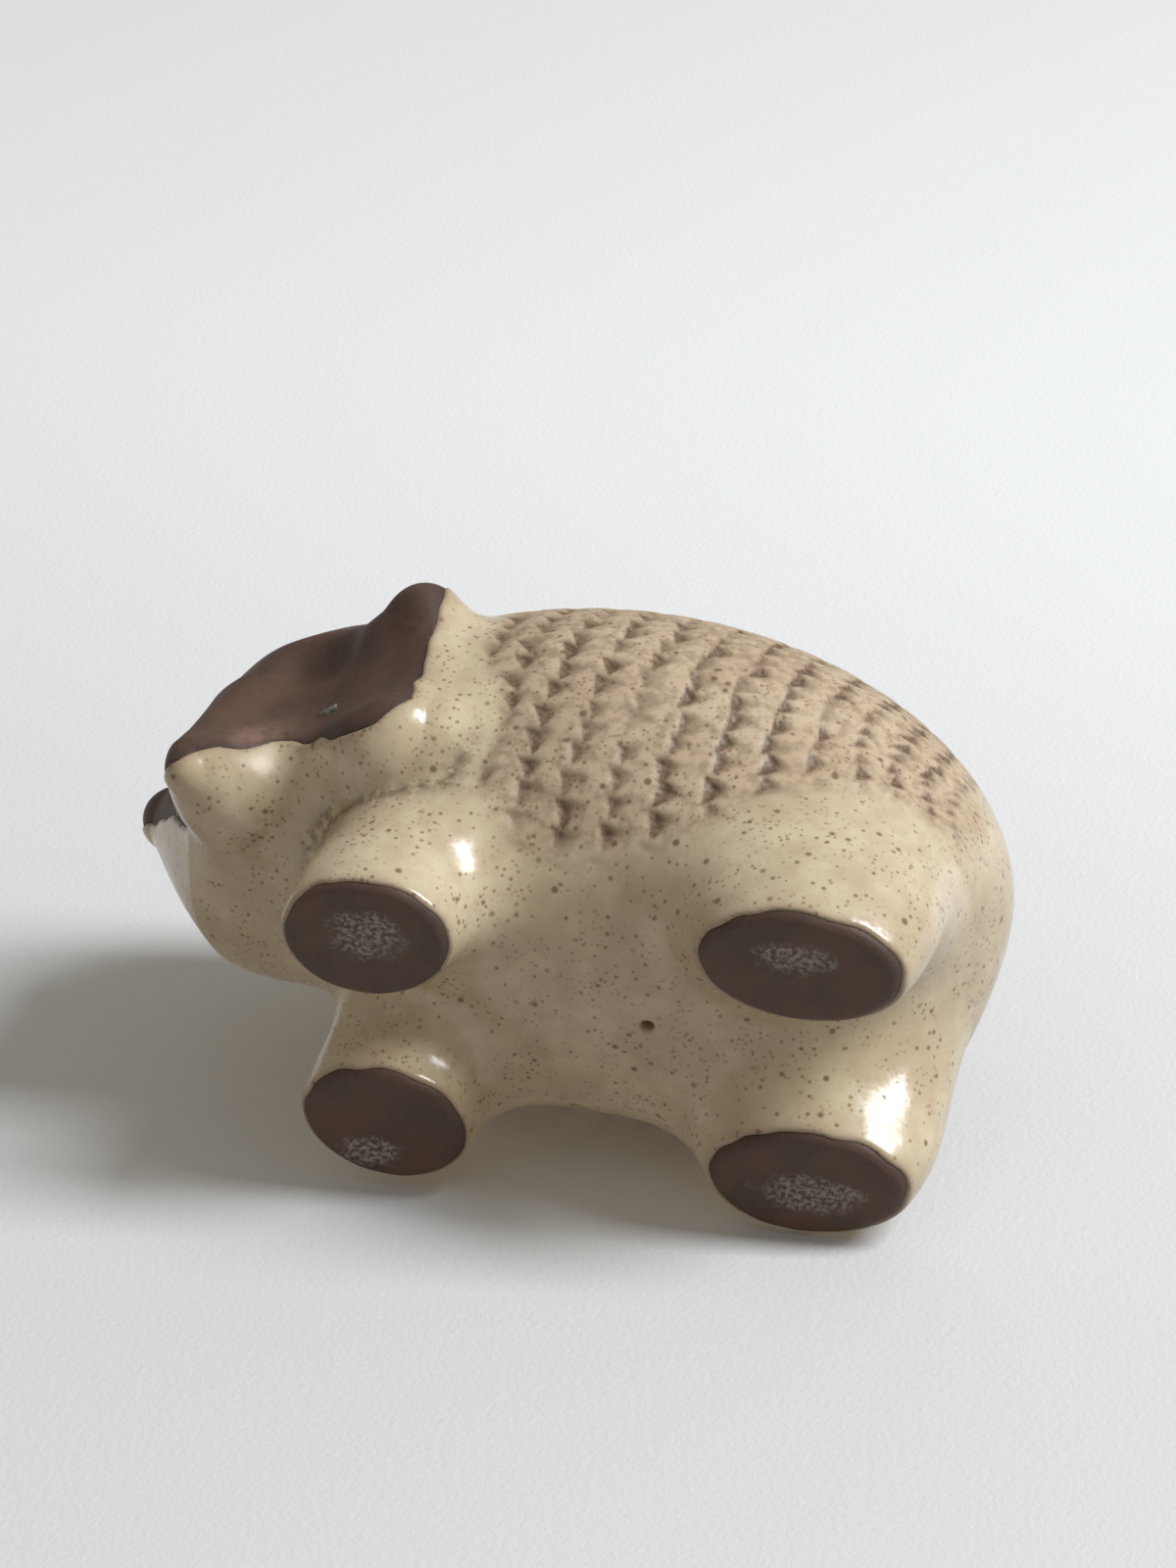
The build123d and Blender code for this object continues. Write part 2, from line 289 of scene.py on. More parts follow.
def cone_field(points, tip, root, tip_radius, root_radius):
    """Distance to a cone with round ends."""
    tip = np.asarray(tip, np.float32)
    run = np.asarray(root, np.float32) - tip
    share = np.clip((points - tip) @ run / (run @ run), 0, 1)
    reach = np.linalg.norm(points - tip - share[:, None] * run, axis=1)
    return reach - (tip_radius + (root_radius - tip_radius) * share)


def head_axes():
    """Rows are the head's own X, Y and Z."""
    turn, tilt, roll = np.radians([HEAD_TURN, HEAD_TILT, HEAD_ROLL])
    out = np.array([-np.cos(tilt) * np.cos(turn), -np.cos(tilt) * np.sin(turn), np.sin(tilt)])
    level = np.array([np.sin(turn), -np.cos(turn), 0.0])
    across = level * np.cos(roll) + np.cross(out, level) * np.sin(roll)
    return np.array([across, np.cross(out, across), out])


def body_axes():
    """Rows are the body's own long, side and upright axes."""
    sag = np.radians(BODY_SAG)
    return np.array([[np.cos(sag), 0, -np.sin(sag)], [0, 1, 0], [np.sin(sag), 0, np.cos(sag)]])


HEAD_AXES = head_axes().astype(np.float32)
BODY_AXES = body_axes().astype(np.float32)


def in_head(points):
    """Points of the figure in the head's own frame."""
    return (points - np.float32(NOSE)) @ HEAD_AXES.T


def in_body(points):
    """Points of the figure in the body's own frame."""
    return (points - np.float32(BODY_CENTRE)) @ BODY_AXES.T


def body_field(points):
    """Distance to the body's egg."""
    local = in_body(points)
    return np.where(local[:, 0] < 0, egg_field(local, BODY_FRONT), egg_field(local, BODY_REAR))


def head_field(points):
    """Distance to the skull, snout, jaw, ears and rolled left cheek, with the eyes' hollows dished out."""
    local = in_head(points)
    folded = local.copy()
    folded[:, 0] = np.abs(folded[:, 0])
    field = egg_field(local - np.float32(SKULL_CENTRE), SKULL_RADII)
    field = melt_min(field, cone_field(local, *SNOUT), SNOUT_BLEND)
    field = melt_min(field, cone_field(local, *JAW), JAW_BLEND)
    field = melt_min(field, cone_field(folded, *EAR), EAR_BLEND)
    cheek = np.minimum(cone_field(local, *CHEEK), cone_field(local, *JOWL))
    field = melt_min(field, cheek, CHEEK_BLEND)
    field = melt_max(field, -cone_field(folded, *DISH), DISH_BLEND)
    field = melt_max(field, -cone_field(local, *HOLLOW), DISH_BLEND)
    return melt_min(field, cone_field(local, *BRIDGE), BRIDGE_BLEND)


def leg_field(points, pair, side):
    """Distance to a leg: an oval stub that leans from its sole to its hip."""
    foot, sole, toe_out, hip, flare, swell = pair
    share = np.clip(points[:, 2] / HIP_HEIGHT, 0, 1)
    lean = share * share
    x = points[:, 0] - (foot[0] + (hip[0] - foot[0]) * lean)
    y = points[:, 1] + side * (foot[1] + (hip[1] - foot[1]) * lean)
    turn = np.radians(-side * toe_out)
    length = x * np.cos(turn) + y * np.sin(turn)
    width = y * np.cos(turn) - x * np.sin(turn)
    widen = 1 + flare * share + 4 * swell * share * (1 - share)
    reach = np.hypot(length / (sole[0] * widen), width / (sole[1] * widen))
    field = (reach - 1) * np.sqrt(sole[0] * sole[1]) * widen
    return melt_max(field, points[:, 2] - HIP_HEIGHT, HIP_ROUND)


def figure_field(points):
    """Distance to the whole glazed figure, without its spine marks."""
    field = body_field(points)
    for pair, side, blend in LEGS.values():
        field = melt_min(field, leg_field(points, pair, side), blend)
    loose = smooth_step(*CREASE_REACH, leg_field(points, FRONT_LEG, LEFT))
    field = melt_min(field, head_field(points), CREASE_BLEND + (NECK_BLEND - CREASE_BLEND) * loose)
    field = melt_max(field, -points[:, 2], SOLE_ROUND)
    vent = cone_field(points, VENT_FOOT, VENT_HEAD, VENT_RADIUS, VENT_RADIUS)
    return melt_max(field, -vent, VENT_BLEND)


def slope_of(field, points, step=0.05):
    """Outward direction of a field at some points."""
    slope = np.empty_like(points)
    for axis in range(3):
        shift = np.zeros(3, np.float32)
        shift[axis] = step
        slope[:, axis] = field(points + shift) - field(points - shift)
    return slope / np.linalg.norm(slope, axis=1, keepdims=True)


def sample_field(field, low, high, step, block=4):
    """Field on a grid of points, fine near the skin and rough elsewhere. Returns the grid and its origin."""
    blocks = np.ceil((high - low) / (step * block)).astype(int) + 2
    origin = low - step * block
    rough_axes = [origin[i] + step * block * (np.arange(blocks[i]) + 0.5) - step / 2 for i in range(3)]
    rough = field(np.stack(np.meshgrid(*rough_axes, indexing="ij"), -1).reshape(-1, 3).astype(np.float32))
    grid = rough.reshape(blocks)
    for axis in range(3):
        grid = np.repeat(grid, block, axis)
    near = np.argwhere(np.abs(grid) < step * block * 1.6)
    grid[tuple(near.T)] = field((origin + step * near).astype(np.float32))
    return grid, origin


def skin_of(grid, origin, step):
    """Skin of a sampled field: one point in each cell that the skin crosses, joined by quads."""
    inside = grid < 0
    cells = np.array(grid.shape) - 1
    corners = [(i, j, k) for i in (0, 1) for j in (0, 1) for k in (0, 1)]
    count = np.zeros(cells, np.int8)
    for corner in corners:
        count += inside[tuple(slice(c, n + c) for c, n in zip(corner, cells))]
    crossed = (count > 0) & (count < 8)
    cell = np.argwhere(crossed)
    index = np.full(cells, -1)
    index[crossed] = np.arange(len(cell))
    total = np.zeros((len(cell), 3))
    hits = np.zeros(len(cell))
    for axis in range(3):
        for start in (c for c in corners if c[axis] == 0):
            end = list(start)
            end[axis] = 1
            first = grid[tuple((cell + start).T)]
            last = grid[tuple((cell + end).T)]
            cut = (first < 0) != (last < 0)
            spot = np.tile(np.array(start, float), (len(cell), 1))
            spot[:, axis] = np.where(cut, first / np.where(cut, first - last, 1), 0)
            total[cut] += spot[cut]
            hits += cut
    points = origin + step * (cell + total / hits[:, None])
    quads = []
    for axis in range(3):
        one, two = np.eye(3, dtype=int)[[(axis + 1) % 3, (axis + 2) % 3]]
        near, far = [slice(1, -1)] * 3, [slice(1, -1)] * 3
        near[axis], far[axis] = slice(0, -1), slice(1, None)
        here, there = inside[tuple(near)], inside[tuple(far)]
        for leaving, turn in ((here & ~there, 1), (~here & there, -1)):
            spot = np.argwhere(leaving) + 1
            spot[:, axis] -= 1
            ring = [spot - one - two, spot - two, spot, spot - one][::turn]
            quads.append(np.stack([index[tuple(corner.T)] for corner in ring], 1))
    return points.astype(np.float32), np.concatenate(quads)


def settle(field, points, rounds=3):
    """Moves points onto a field's zero along its slope."""
    for _ in range(rounds):
        points = points - slope_of(field, points) * np.clip(field(points), -VOXEL, VOXEL)[:, None]
    return points


def wander(points, height, size, seed):
    """Slow random drift up to about a height either way, made of a few plane waves of one size."""
    chance = np.random.default_rng(seed)
    drift = np.zeros(len(points), np.float32)
    for _ in range(7):
        course = unit(chance.normal(size=3)) * 2 * np.pi / (size * chance.uniform(0.6, 1.6))
        drift += np.sin(points @ course.astype(np.float32) + chance.uniform(0, 2 * np.pi))
    return height * (drift / 3)


def face_field(points):
    """Negative on the bare clay of the face."""
    local = in_head(points)
    aside = np.abs(local[:, 0])
    chin = np.interp(aside, *np.transpose(CHIN_RIM)) - local[:, 2]
    brow = local[:, 1] - np.interp(aside, *np.transpose(BROW_RIM))
    right = np.interp(-local[:, 0], *np.transpose(RIGHT_EDGE)) - local[:, 1]
    right = np.minimum(right, np.interp(-local[:, 0], *np.transpose(RIGHT_RIM)) - local[:, 2])
    right = np.where(local[:, 0] < 0, right, NOT_RIGHT)
    ear = np.stack([aside, local[:, 1], local[:, 2]], 1) @ unit(EAR_RIM_COURSE) - EAR_RIM_REACH
    return np.max([chin, right, brow, ear], axis=0) + wander(points, *RIM_WANDER)


def sole_field(points):
    """Negative on the bare clay of the soles."""
    return points[:, 2] - GLAZE_LINE - wander(points, *SOLE_WANDER)


def split_skin(points, faces, value):
    """Cuts triangles along a value's zero line. Returns points, faces, and which faces are below zero."""
    below = value < 0
    mixed = below[faces].any(1) & ~below[faces].all(1)
    part = faces[mixed]
    lone_below = below[part].sum(1) == 1
    odd = np.argmax(below[part] == lone_below[:, None], axis=1)
    part = np.stack([part[np.arange(len(part)), (odd + turn) % 3] for turn in range(3)], 1)
    edges = np.sort(np.concatenate([part[:, [0, 1]], part[:, [0, 2]]]), axis=1)
    edges, place = np.unique(edges, axis=0, return_inverse=True)
    place = place.ravel() + len(points)
    share = value[edges[:, 0]] / (value[edges[:, 0]] - value[edges[:, 1]])
    cuts = points[edges[:, 0]] + share[:, None] * (points[edges[:, 1]] - points[edges[:, 0]])
    one, two = place[:len(part)], place[len(part):]
    tips = np.stack([part[:, 0], one, two], 1)
    near_rest = np.stack([one, part[:, 1], part[:, 2]], 1)
    far_rest = np.stack([one, part[:, 2], two], 1)
    new_faces = np.concatenate([faces[~mixed], tips, near_rest, far_rest])
    whole = below[faces[~mixed]].all(1)
    new_below = np.concatenate([whole, lone_below, ~lone_below, ~lone_below])
    return np.concatenate([points, cuts]).astype(np.float32), new_faces, new_below


def body_rings(points):
    """Place of points on the body: sweep along the back, angle from the spine, radius, length per sweep."""
    local = in_body(points)
    girth = np.hypot(local[:, 1], local[:, 2])
    reach = np.where(local[:, 0] < 0, BODY_FRONT[0], BODY_REAR[0])
    sweep = np.arctan2(local[:, 0] / reach, girth / BODY_REAR[1])
    stretch = np.hypot(reach * np.cos(sweep), BODY_REAR[1] * np.sin(sweep))
    return sweep, np.arctan2(local[:, 1], local[:, 2]), girth, stretch


def spine_marks(points):
    """Depth of the chip-cut spine marks at points on the skin, and how dark they are painted: brown stain in
    the glaze together with painted shade, darkest along each pit's steep wall.

    A mark is a three-cornered pit with one steep wall. At the shoulder its point hangs down and the wall is
    on the head's side; towards the rump the mark turns until its point is in front and the wall above.
    """
    sweep, angle, girth, stretch = body_rings(points)
    ring_step = np.radians(RING_STEP)
    chance = np.random.default_rng(MARK_SEED)
    jitter = chance.normal(size=(2 * RING_LIMIT + 1, MARKS_ROUND, 5)).clip(-2, 2)
    depth = np.zeros(len(points))
    stain = np.zeros(len(points))
    near_ring = np.rint(sweep / ring_step).astype(int)
    step = 2 * np.pi / MARKS_ROUND
    for ring_turn in (-1, 0, 1):
        ring = np.clip(near_ring + ring_turn, -RING_LIMIT, RING_LIMIT)
        shift = 0.5 * (ring % 2)
        near_mark = np.rint(angle / step - shift).astype(int)
        for mark_turn in (-1, 0, 1):
            mark = near_mark + mark_turn
            loose = jitter[ring + RING_LIMIT, mark % MARKS_ROUND]
            spot_angle = (mark + shift) * step
            side = np.where(spot_angle % (2 * np.pi) < np.pi, 1, -1)
            down = side * (angle - spot_angle) * girth - LOOSE_SHIFT * loose[:, 0]
            back = (sweep - ring * ring_step) * stretch - LOOSE_SHIFT * loose[:, 1]
            lean = np.radians(np.interp(ring, MARK_RINGS, MARK_LEANS) + LOOSE_LEAN * loose[:, 2])
            lean = lean * np.minimum(1, np.abs(np.sin(spot_angle)) / 0.3)
            narrow = np.minimum(1, girth * step / FULL_PITCH)
            size = 1 + LOOSE_SIZE * loose[:, 3]
            length = np.interp(ring, MARK_RINGS, MARK_LENGTHS) * size * narrow ** np.abs(np.sin(lean))
            width = np.interp(ring, MARK_RINGS, MARK_WIDTHS) * size * narrow ** np.abs(np.cos(lean))
            run = (back * np.cos(lean) + down * np.sin(lean)) / length + 0.5
            wide = down * np.cos(lean) - back * np.sin(lean)
            half = 0.5 * width * run
            from_wall, from_ramp, from_end = wide + half, half - wide, (1 - run) * length
            ramp_run = RAMP_SHARE * width
            pit = np.min([from_wall / WALL_RUN, from_ramp / ramp_run, from_end / END_RUN], axis=0)
            strength = MARK_DEPTH * (1 + LOOSE_DEPTH * loose[:, 4]) * narrow
            depth = np.maximum(depth, np.clip(pit, 0, 1) * strength)
            # Darkening inside the pit, strongest along its steep wall: brown stain with painted shade where
            # the wall's shade falls
            inside = np.min([from_wall / 0.6 + 0.6, from_ramp / 1.0 + 0.2, from_end / 1.0 + 0.3], axis=0)
            pit_darkening = np.clip(inside, 0, 1) * np.exp(-np.maximum(from_wall - WALL_RUN, 0) / STAIN_AND_SHADE_RUN)
            stain = np.maximum(stain, pit_darkening * (1 + LOOSE_STAIN_AND_SHADE * loose[:, 4]))
    return depth, np.clip(stain, 0, 1)


def bare_field(points):
    """Negative where the clay is bare."""
    return np.minimum(face_field(points), sole_field(points)).astype(np.float32)


def edge_distance(points, normals, step=0.05):
    """Distance along the skin to the line where the glaze ends, negative on bare clay."""
    slope = np.empty_like(points)
    for axis in range(3):
        shift = np.zeros(3, np.float32)
        shift[axis] = step
        slope[:, axis] = (bare_field(points + shift) - bare_field(points - shift)) / (2 * step)
    slope -= normals * (slope * normals).sum(1, keepdims=True)
    return bare_field(points) / np.maximum(np.linalg.norm(slope, axis=1), 0.3)


def marks_weight(points):
    """One on the spiny back, falling to zero at the head, the legs, the belly and the rump."""
    weight = smooth_step(*HEAD_FADE, head_field(points))
    for pair, side, _ in LEGS.values():
        weight = weight * smooth_step(*LEG_FADE, leg_field(points, pair, side))
    weight = weight * smooth_step(*BELLY_FADE, points[:, 2])
    weight = weight * (1 - smooth_step(*TAIL_FADE, points[:, 0]))
    low_rump = smooth_step(*LOW_RUMP_BACK, points[:, 0]) * (1 - smooth_step(*LOW_RUMP_UP, points[:, 2]))
    return weight * (1 - low_rump)


def even_out(values, faces, rounds):
    """Averages a value with that of the neighbouring points, a few times over."""
    ends = np.concatenate([faces[:, [0, 1]], faces[:, [1, 2]], faces[:, [2, 0]]])
    ends = np.concatenate([ends, ends[:, ::-1]])
    count = np.bincount(ends[:, 0], minlength=len(values))
    for _ in range(rounds):
        around = np.bincount(ends[:, 0], values[ends[:, 1]], len(values)) / np.maximum(count, 1)
        values = 0.5 * values + 0.5 * around
    return values


def make_piece(name, points, faces, material, slot, nodes, **layers):
    """Smooth piece in metres that stands for some nodes. Each layer is a value for every point."""
    used, place = np.unique(faces, return_inverse=True)
    mesh = bpy.data.meshes.new(name)
    mesh.from_pydata((points[used] * MM).tolist(), [], place.reshape(faces.shape).tolist())
    for layer, values in layers.items():
        store = mesh.attributes.new(layer, "FLOAT", "POINT")
        store.data.foreach_set("value", np.ascontiguousarray(values[used], np.float32))
    mesh.shade_smooth()
    mesh.materials.append(material)
    piece = bpy.data.objects.new(name, mesh)
    bpy.context.collection.objects.link(piece)
    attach(piece, "root")
    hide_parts(*nodes)
    return piece


def scuff_layer(points):
    """How strongly the chalky scuffs of the soles show at points."""
    scuff = np.zeros(len(points))
    for name, (spot, reach) in SCUFFS.items():
        (foot, sole, *_), side, _ = LEGS[name]
        along = ((points[:, 0] - foot[0]) / sole[0] - spot[0]) / reach[0]
        across = ((points[:, 1] + side * foot[1]) / sole[1] - spot[1]) / reach[1]
        scuff = np.maximum(scuff, np.exp(-along * along - across * across))
    return np.where(points[:, 2] < GLAZE_LINE, scuff, 0)


def blush_layer(points):
    """Weight of the spot beside the nose, where the clay is painted with a reddish sheen and the glaze is
    duller.
    """
    reach = (in_head(points) - np.float32(SNOUT_SPOT)) / np.float32(SNOUT_SPOT_REACH)
    return np.exp(-(reach * reach).sum(1))


def make_lens(name, clay, normals, faces, material, slot, nodes, **layers):
    """Thin closed piece: a patch of bare clay, and a copy sunk under it that shares its rim."""
    ends = np.sort(np.concatenate([faces[:, [0, 1]], faces[:, [1, 2]], faces[:, [2, 0]]]), axis=1)
    edges, count = np.unique(ends, axis=0, return_counts=True)
    sunk = np.arange(len(clay)) + len(clay)
    rim = np.unique(edges[count == 1])
    sunk[rim] = rim
    both = np.concatenate([clay, clay - 0.5 * UNDERLAP * normals])
    layers = {layer: np.concatenate([values, values]) for layer, values in layers.items()}
    all_faces = np.concatenate([faces, sunk[faces][:, ::-1]])
    return make_piece(name, both, all_faces, material, slot, nodes, **layers)


def make_eye(name, place, material):
    """Ragged dab of glaze on the face: a low dome whose foot sinks into the clay."""
    start = np.float32(NOSE) + np.float32(place) @ HEAD_AXES
    centre = settle(figure_field, start[None], 12)
    out = slope_of(figure_field, centre)[0]
    across = unit(np.cross(out, HEAD_AXES[1]))
    rise = np.cross(out, across)
    spots, heights = [np.zeros(3)], [EYE_RISE]
    for ring in range(1, EYE_RINGS + 1):
        rim_share = 0.5 * np.pi * ring / EYE_RINGS
        for turn in np.arange(EYE_SPOKES) * 2 * np.pi / EYE_SPOKES:
            lobes = sum(height * np.sin(count * turn + lead) for height, count, lead in EYE_LOBES)
            course = EYE_RADII[0] * np.cos(turn) * across + EYE_RADII[1] * np.sin(turn) * rise
            spots.append(np.sin(rim_share) * (1 + lobes) * course)
            heights.append(EYE_RISE * np.cos(rim_share))
    spots = settle(figure_field, (centre + np.array(spots)).astype(np.float32), 6)
    lift = np.array(heights) - GLAZE - EYE_SINK
    points = spots + slope_of(figure_field, spots) * lift[:, None]
    points = np.concatenate([points, points[:1] - (EYE_RISE + EYE_FOOT) * out])
    faces = []
    for spoke in range(EYE_SPOKES):
        beside = (spoke + 1) % EYE_SPOKES
        faces.append((0, 1 + spoke, 1 + beside))
        for ring in range(EYE_RINGS - 1):
            a, b = 1 + ring * EYE_SPOKES + spoke, 1 + ring * EYE_SPOKES + beside
            faces.append((a, a + EYE_SPOKES, b + EYE_SPOKES))
            faces.append((a, b + EYE_SPOKES, b))
        a, b = 1 + (EYE_RINGS - 1) * EYE_SPOKES + spoke, 1 + (EYE_RINGS - 1) * EYE_SPOKES + beside
        faces.append((a, len(points) - 1, b))
    return make_piece(name, points, np.array(faces), material, "glaze", [name])


def node(tree, kind, options=None, **inputs):
    """Adds a shader node, sets its options, and sets or links its inputs by name."""
    made = tree.nodes.new("ShaderNode" + kind)
    for option, value in (options or {}).items():
        setattr(made, option, value)
    for name, value in inputs.items():
        feed(tree, made.inputs[name.replace("_", " ")], value)
    return made


def feed(tree, socket, value):
    """Links a socket to another, or sets its value."""
    if isinstance(value, bpy.types.NodeSocket):
        tree.links.new(value, socket)
    else:
        socket.default_value = value


def sums(tree, operation, *values, clamp=False):
    """Result of a math node."""
    made = node(tree, "Math", {"operation": operation, "use_clamp": clamp})
    for socket, value in zip(made.inputs, values):
        feed(tree, socket, value)
    return made.outputs[0]


def blend_colour(tree, share, first, last):
    """Colour between two others."""
    made = node(tree, "Mix", {"data_type": "RGBA", "clamp_factor": True})
    feed(tree, made.inputs[0], share)
    for socket, value in ((made.inputs[6], first), (made.inputs[7], last)):
        feed(tree, socket, value if isinstance(value, bpy.types.NodeSocket) else (*value, 1.0))
    return made.outputs[2]


def overlay(tree, colour, share, strength, last):
    """Colour with another laid over it, by a share times a strength."""
    return blend_colour(tree, sums(tree, "MULTIPLY", share, strength), colour, last)


def rise(tree, value, low, high):
    """Smooth rise from zero at low to one at high."""
    smooth = {"interpolation_type": "SMOOTHSTEP"}
    return node(tree, "MapRange", smooth, Value=value, From_Min=low, From_Max=high).outputs[0]


def cloud(tree, place, size, detail=3.0):
    """Soft random pattern of a size in millimetres, about 0.5 on average."""
    made = node(tree, "TexNoise", Vector=place, Scale=1 / (size * MM), Detail=detail, Roughness=0.55)
    return made.outputs[0]


def specks(tree, place, cell, smallest, largest, share):
    """Round specks, at most one in a cell: sizes in millimetres, and the share of cells that have one."""
    cells = node(tree, "TexVoronoi", Vector=place, Scale=1 / (cell * MM))
    chance = node(tree, "SeparateColor", Color=cells.outputs["Color"])
    radius = node(
        tree, "MapRange", Value=chance.outputs[0], To_Min=smallest / cell, To_Max=largest / cell,
    ).outputs[0]
    inside = sums(tree, "SUBTRACT", radius, cells.outputs["Distance"])
    disc = sums(tree, "MULTIPLY", inside, 3 * cell / (smallest + largest), clamp=True)
    there = sums(tree, "LESS_THAN", chance.outputs[1], share)
    return sums(tree, "MULTIPLY", disc, there)


def new_material(name):
    """Material with a node tree, its shader and the object's coordinates."""
    material = bpy.data.materials.new(name)
    material.use_nodes = True
    tree = material.node_tree
    place = node(tree, "TexCoord").outputs["Object"]
    return material, tree, tree.nodes["Principled BSDF"], place


def layer_value(tree, name):
    """Value that a mesh stores for each point."""
    return node(tree, "Attribute", {"attribute_name": name}).outputs["Fac"]


def glaze_material():
    """Glossy oatmeal glaze: cream, pinkish where thin, brown stain with painted shade in the cuts and along
    the cheek's crease, and full of iron specks.
    """
    material, tree, shader, place = new_material("oatmeal_glaze")
    pools = rise(tree, cloud(tree, place, 11.0), 0.38, 0.62)
    fine = rise(tree, cloud(tree, place, 2.6), 0.35, 0.68)
    colour = blend_colour(tree, pools, GLAZE_CREAM, GLAZE_TAN)
    colour = overlay(tree, colour, fine, 0.35, GLAZE_PINK)
    # Brown stain with painted shade in the spine marks' pits
    cut = layer_value(tree, "stain")
    spiny = layer_value(tree, "spiny")
    blush = layer_value(tree, "blush")
    worn = sums(tree, "MULTIPLY", spiny, rise(tree, cloud(tree, place, 1.8, 5.0), 0.42, 0.66))
    colour = overlay(tree, colour, spiny, 0.5, GLAZE_PINK)
    colour = overlay(tree, colour, worn, 0.55, GLAZE_THIN_AND_SHADE)
    # Pits painted darker: thin glaze and painted shade, then deeper brown stain and painted shade
    colour = blend_colour(tree, cut, colour, GLAZE_THIN_AND_SHADE)
    broken = rise(tree, cloud(tree, place, 0.8), 0.25, 0.62)
    deep_stain_and_shade = sums(tree, "MULTIPLY", rise(tree, cut, 0.45, 1.0), broken)
    colour = overlay(tree, colour, deep_stain_and_shade, 0.9, GLAZE_STAIN_AND_SHADE)
    # Crease under the cheek painted brown: stain with painted shade
    patchy = rise(tree, cloud(tree, place, 1.6), 0.25, 0.6)
    crease = sums(tree, "MULTIPLY", layer_value(tree, "crease"), patchy)
    colour = overlay(tree, colour, crease, 0.85, GLAZE_STAIN_AND_SHADE)
    colour = overlay(tree, colour, layer_value(tree, "edge"), 0.7, GLAZE_EDGE)
    crowd = sums(tree, "ADD", cloud(tree, place, 8.0), sums(tree, "MULTIPLY", cut, 0.12))
    dust = sums(tree, "MULTIPLY", specks(tree, place, *DUST), rise(tree, crowd, 0.4, 0.62))
    spots = specks(tree, place, *SPOTS)
    colour = overlay(tree, colour, dust, 0.75, SPECK_RED)
    colour = overlay(tree, colour, specks(tree, place, *GRAINS), 0.7, SPECK_BROWN)
    colour = overlay(tree, colour, spots, 0.8, SPECK_BROWN)
    tree.links.new(colour, shader.inputs["Base Color"])
    low, high = GLAZE_GLOSS
    gloss = node(tree, "MapRange", Value=cloud(tree, place, 4.0), To_Min=low, To_Max=high).outputs[0]
    gloss = sums(tree, "ADD", gloss, sums(tree, "MULTIPLY", spiny, SPINY_DULL))
    gloss = sums(tree, "ADD", gloss, sums(tree, "MULTIPLY", blush, SNOUT_SPOT_DULL))
    tree.links.new(gloss, shader.inputs["Roughness"])
    height = sums(tree, "ADD", cloud(tree, place, 3.0, 2.0), sums(tree, "MULTIPLY", spots, -0.35))
    bump = node(tree, "Bump", Strength=0.35, Distance=0.25 * MM, Height=height)
    tree.links.new(bump.outputs[0], shader.inputs["Normal"])
    shader.inputs["IOR"].default_value = GLAZE_IOR
    return material


def clay_material(name, burn):
    """Bare dark stoneware: reddish blotches, pores, chalky scuffs, a reddish painted sheen beside the nose,
    and a burnt rim.
    """
    material, tree, shader, place = new_material(name)
    blotch = rise(tree, cloud(tree, place, 9.0, 4.0), 0.35, 0.68)
    colour = blend_colour(tree, blotch, CLAY_DARK, CLAY_RED)
    grain = rise(tree, cloud(tree, place, 0.6, 2.0), 0.3, 0.7)
    colour = overlay(tree, colour, grain, 0.25, CLAY_DUST)
    torn = sums(tree, "MULTIPLY", cloud(tree, place, 3.0, 5.0), 0.9)
    ragged = rise(tree, sums(tree, "ADD", layer_value(tree, "scuff"), torn), 0.8, 1.25)
    scuff = sums(tree, "MULTIPLY", ragged, rise(tree, cloud(tree, place, 0.7, 6.0), 0.4, 0.62))
    colour = overlay(tree, colour, scuff, 0.85, CLAY_CHALK)
    colour = overlay(tree, colour, specks(tree, place, *PORES), 0.6, CLAY_PORE)
    # Painted sheen: a lighter red laid on the clay beside the nose
    patchy = rise(tree, cloud(tree, place, 1.5), 0.1, 0.6)
    blush = sums(tree, "MULTIPLY", layer_value(tree, "blush"), patchy)
    colour = overlay(tree, colour, blush, 0.8, CLAY_PAINTED_SHEEN)
    colour = overlay(tree, colour, layer_value(tree, "edge"), burn, CLAY_RIM)
    tree.links.new(colour, shader.inputs["Base Color"])
    height = sums(tree, "ADD", cloud(tree, place, 1.4, 5.0), sums(tree, "MULTIPLY", scuff, 0.3))
    bump = node(tree, "Bump", Strength=0.3, Distance=0.2 * MM, Height=height)
    tree.links.new(bump.outputs[0], shader.inputs["Normal"])
    shader.inputs["Roughness"].default_value = CLAY_ROUGHNESS
    return material


def eye_material():
    """Glassy dab of grey-green glaze, thin and dark in patches."""
    material, tree, shader, place = new_material("eye_glaze")
    colour = blend_colour(tree, rise(tree, cloud(tree, place, 0.9), 0.4, 0.6), EYE_PALE, EYE_DARK)
    tree.links.new(colour, shader.inputs["Base Color"])
    bump = node(tree, "Bump", Strength=0.5, Distance=0.2 * MM, Height=cloud(tree, place, 0.9, 2.0))
    tree.links.new(bump.outputs[0], shader.inputs["Normal"])
    shader.inputs["Roughness"].default_value = EYE_ROUGHNESS
    return material


